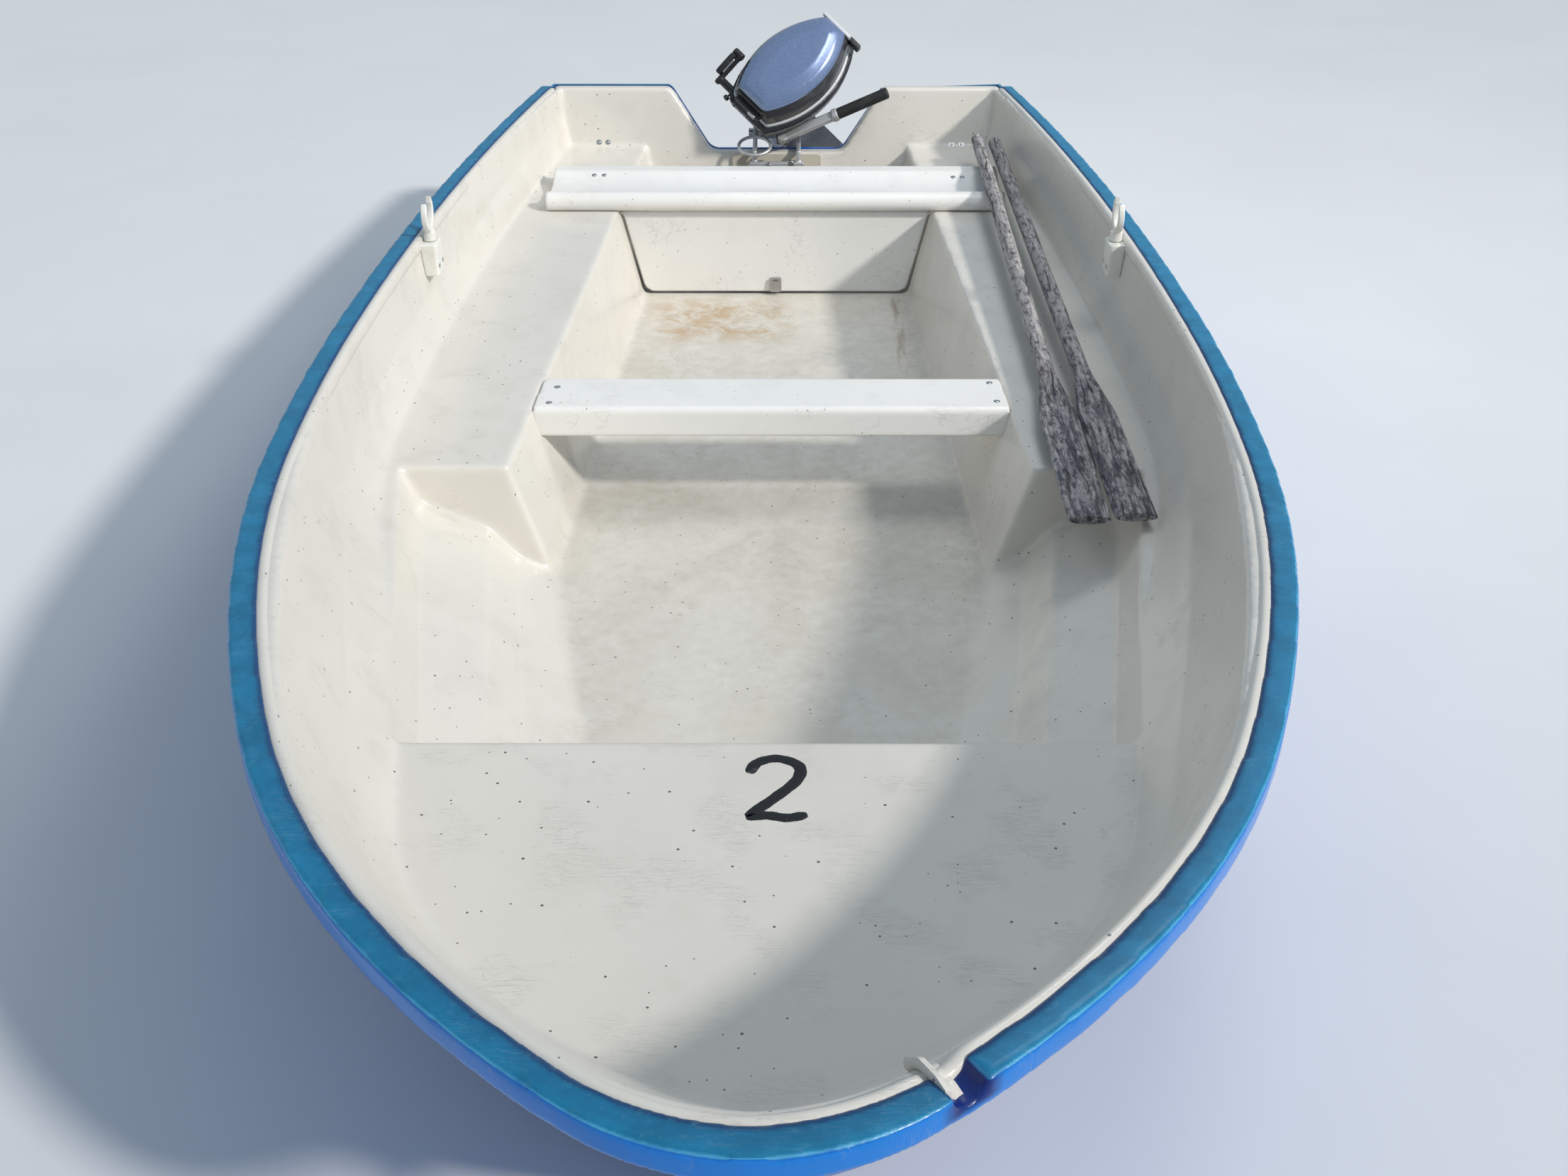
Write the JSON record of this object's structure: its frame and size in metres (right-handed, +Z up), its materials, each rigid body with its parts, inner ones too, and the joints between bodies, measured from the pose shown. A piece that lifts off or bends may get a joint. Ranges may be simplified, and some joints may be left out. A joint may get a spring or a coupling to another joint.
{
  "type": "small open motorboat",
  "caption": "Small open moulded boat with side benches, thwart, stern seat, bow platform, rowlocks, oars and a tilted-up outboard motor.",
  "frame": {"origin": "on the centreline at the waterline, near the middle of the boat's length", "axes": "-Y towards the bow, +X to port, +Z up"},
  "size_m": [1.6, 4.4216, 0.743],
  "materials": {
    "blue_shell": "glossy blue gelcoat, sun bleached along the top edge",
    "cream_liner": "cream gelcoat with fine dark speckles",
    "white_moulding": "white gelcoat",
    "white_plastic": "white nylon",
    "oar_wood": "grey weathered wood",
    "steel": "stainless steel",
    "black_plastic": "black moulded plastic",
    "pad": "beige plastic pad",
    "alloy": "cast alloy, weathered",
    "motor_paint": "dark grey-blue painted alloy",
    "cowl": "glossy metallic blue-grey paint",
    "cowl_band": "light silver stripe",
    "prop_paint": "black painted cast alloy",
    "rubber": "black rubber",
    "tiller": "grey cast alloy"
  },
  "bodies": {
    "boat": {"hull_skin": "blue_shell", "rubbing_strake": "blue_shell", "liner": "cream_liner", "thwart": "white_moulding", "stern_seat": "white_moulding", "rowlock_socket_starboard": "white_plastic", "rowlock_socket_port": "white_plastic", "oar_inner": "oar_wood", "oar_outer": "oar_wood", "bow_eye": "steel", "stern_eyes": "steel", "tilt_rod": "steel", "clamp_screws": "steel", "drain_plug": "black_plastic", "transom_pad_aft": "pad", "transom_pad_fore": "pad", "clamp_bracket": "alloy"},
    "tilt": {"swivel_bracket": "alloy"},
    "steer": {"steering_bracket": "motor_paint", "lower_yoke": "motor_paint", "drive_housing": "motor_paint", "gearcase": "motor_paint", "lower_cowl": "cowl", "cowl_band": "cowl_band", "top_cowl": "cowl", "engine_block": "motor_paint", "tiller_arm": "tiller", "tiller_grip": "rubber", "recoil_grip": "black_plastic", "shift_lever": "black_plastic"},
    "propeller": {"propeller": "prop_paint"},
    "locker_door": {"locker_door": "white_moulding", "door_latch": "steel"},
    "rowlock_starboard": {"rowlock_starboard": "white_plastic"},
    "rowlock_port": {"rowlock_port": "white_plastic"}
  },
  "joints": [
    {"name": "motor_tilt", "type": "hinge", "parent": "boat", "child": "tilt", "pos_m": [0, 1.85187, 0.265], "axis": [-1, 0, 0], "range_deg": [0, 48]},
    {"name": "motor_steering", "type": "hinge", "parent": "tilt", "child": "steer", "pos_m": [0, 1.88666, 0.30364], "axis": [0, -0.7431, 0.6691], "range_deg": [0, 93]},
    {"name": "propeller_spin", "type": "hinge", "parent": "steer", "child": "propeller", "pos_m": [0.11098, 2.34357, 0.03396], "axis": [0.7254, 0.4606, 0.5115], "continuous": true},
    {"name": "locker_door_hinge", "type": "hinge", "parent": "boat", "child": "locker_door", "pos_m": [0, 1.238, 0.238], "axis": [-1, 0, 0], "range_deg": [0, 85]},
    {"name": "rowlock_starboard_turn", "type": "hinge", "parent": "boat", "child": "rowlock_starboard", "pos_m": [-0.724, 0.47, 0.44101], "axis": [0, 0, 1], "continuous": true},
    {"name": "rowlock_port_turn", "type": "hinge", "parent": "boat", "child": "rowlock_port", "pos_m": [0.724, 0.47, 0.44101], "axis": [0, 0, 1], "continuous": true}
  ]
}
